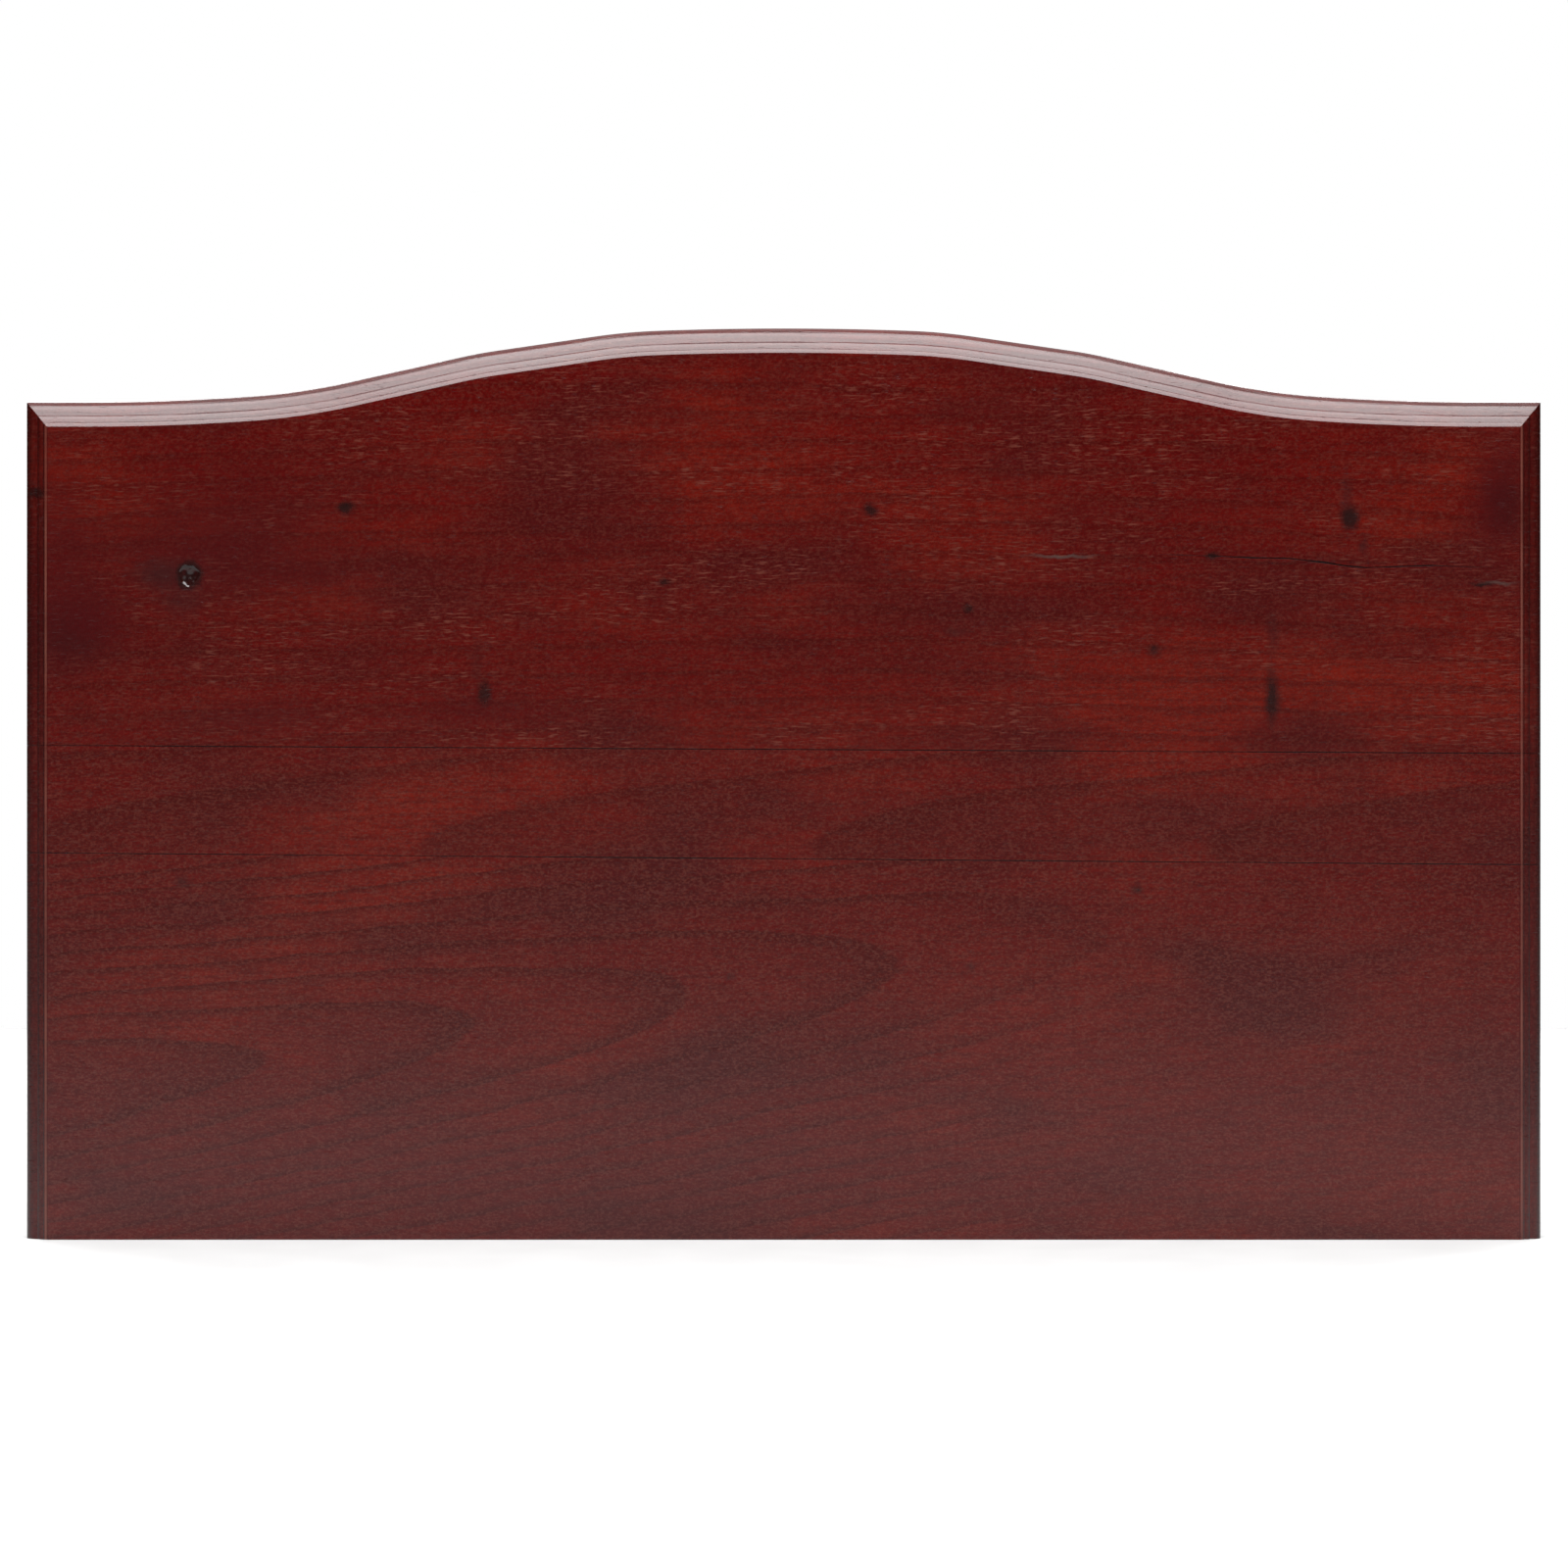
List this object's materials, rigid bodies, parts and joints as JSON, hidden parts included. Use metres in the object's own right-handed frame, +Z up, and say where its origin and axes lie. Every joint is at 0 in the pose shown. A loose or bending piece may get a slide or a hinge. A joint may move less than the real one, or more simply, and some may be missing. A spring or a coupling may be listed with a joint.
{
  "type": "wooden plaque",
  "caption": "Flat camel-backed wooden plaque, wider than tall, with a stepped moulding along its top and sides, a square-cut bottom edge and D-ring hangers on its back.",
  "frame": {"origin": "middle of the square-cut bottom edge, halfway through the panel's thickness", "axes": "+Z up the panel towards the crest, +X along its width, -Y out of the moulded front face and +Y out of the back towards the wall"},
  "size_m": [0.6, 0.0252, 0.3606],
  "materials": {
    "board": "red mahogany stain under satin varnish",
    "dowel": "raw beech",
    "hanger": "satin",
    "screw": "satin",
    "bumper": "matte"
  },
  "bodies": {
    "panel": {"lower_board": "board", "middle_board": "board", "upper_board": "board", "lower_joint_dowel_1": "dowel", "lower_joint_dowel_2": "dowel", "lower_joint_dowel_3": "dowel", "lower_joint_dowel_4": "dowel", "upper_joint_dowel_1": "dowel", "upper_joint_dowel_2": "dowel", "upper_joint_dowel_3": "dowel", "upper_joint_dowel_4": "dowel", "left_hanger_strap": "hanger", "right_hanger_strap": "hanger", "left_hanger_screw_upper": "screw", "left_hanger_screw_lower": "screw", "right_hanger_screw_upper": "screw", "right_hanger_screw_lower": "screw", "left_bumper": "bumper", "right_bumper": "bumper"},
    "left_ring": {"left_hanger_ring": "hanger"},
    "right_ring": {"right_hanger_ring": "hanger"}
  },
  "joints": [
    {"name": "left_ring_swing", "type": "hinge", "parent": "panel", "child": "left_ring", "pos_m": [-0.2, 0.0126, 0.26056], "axis": [1, 0, 0], "range_deg": [0, 175]},
    {"name": "right_ring_swing", "type": "hinge", "parent": "panel", "child": "right_ring", "pos_m": [0.2, 0.0126, 0.26056], "axis": [1, 0, 0], "range_deg": [0, 175]}
  ]
}
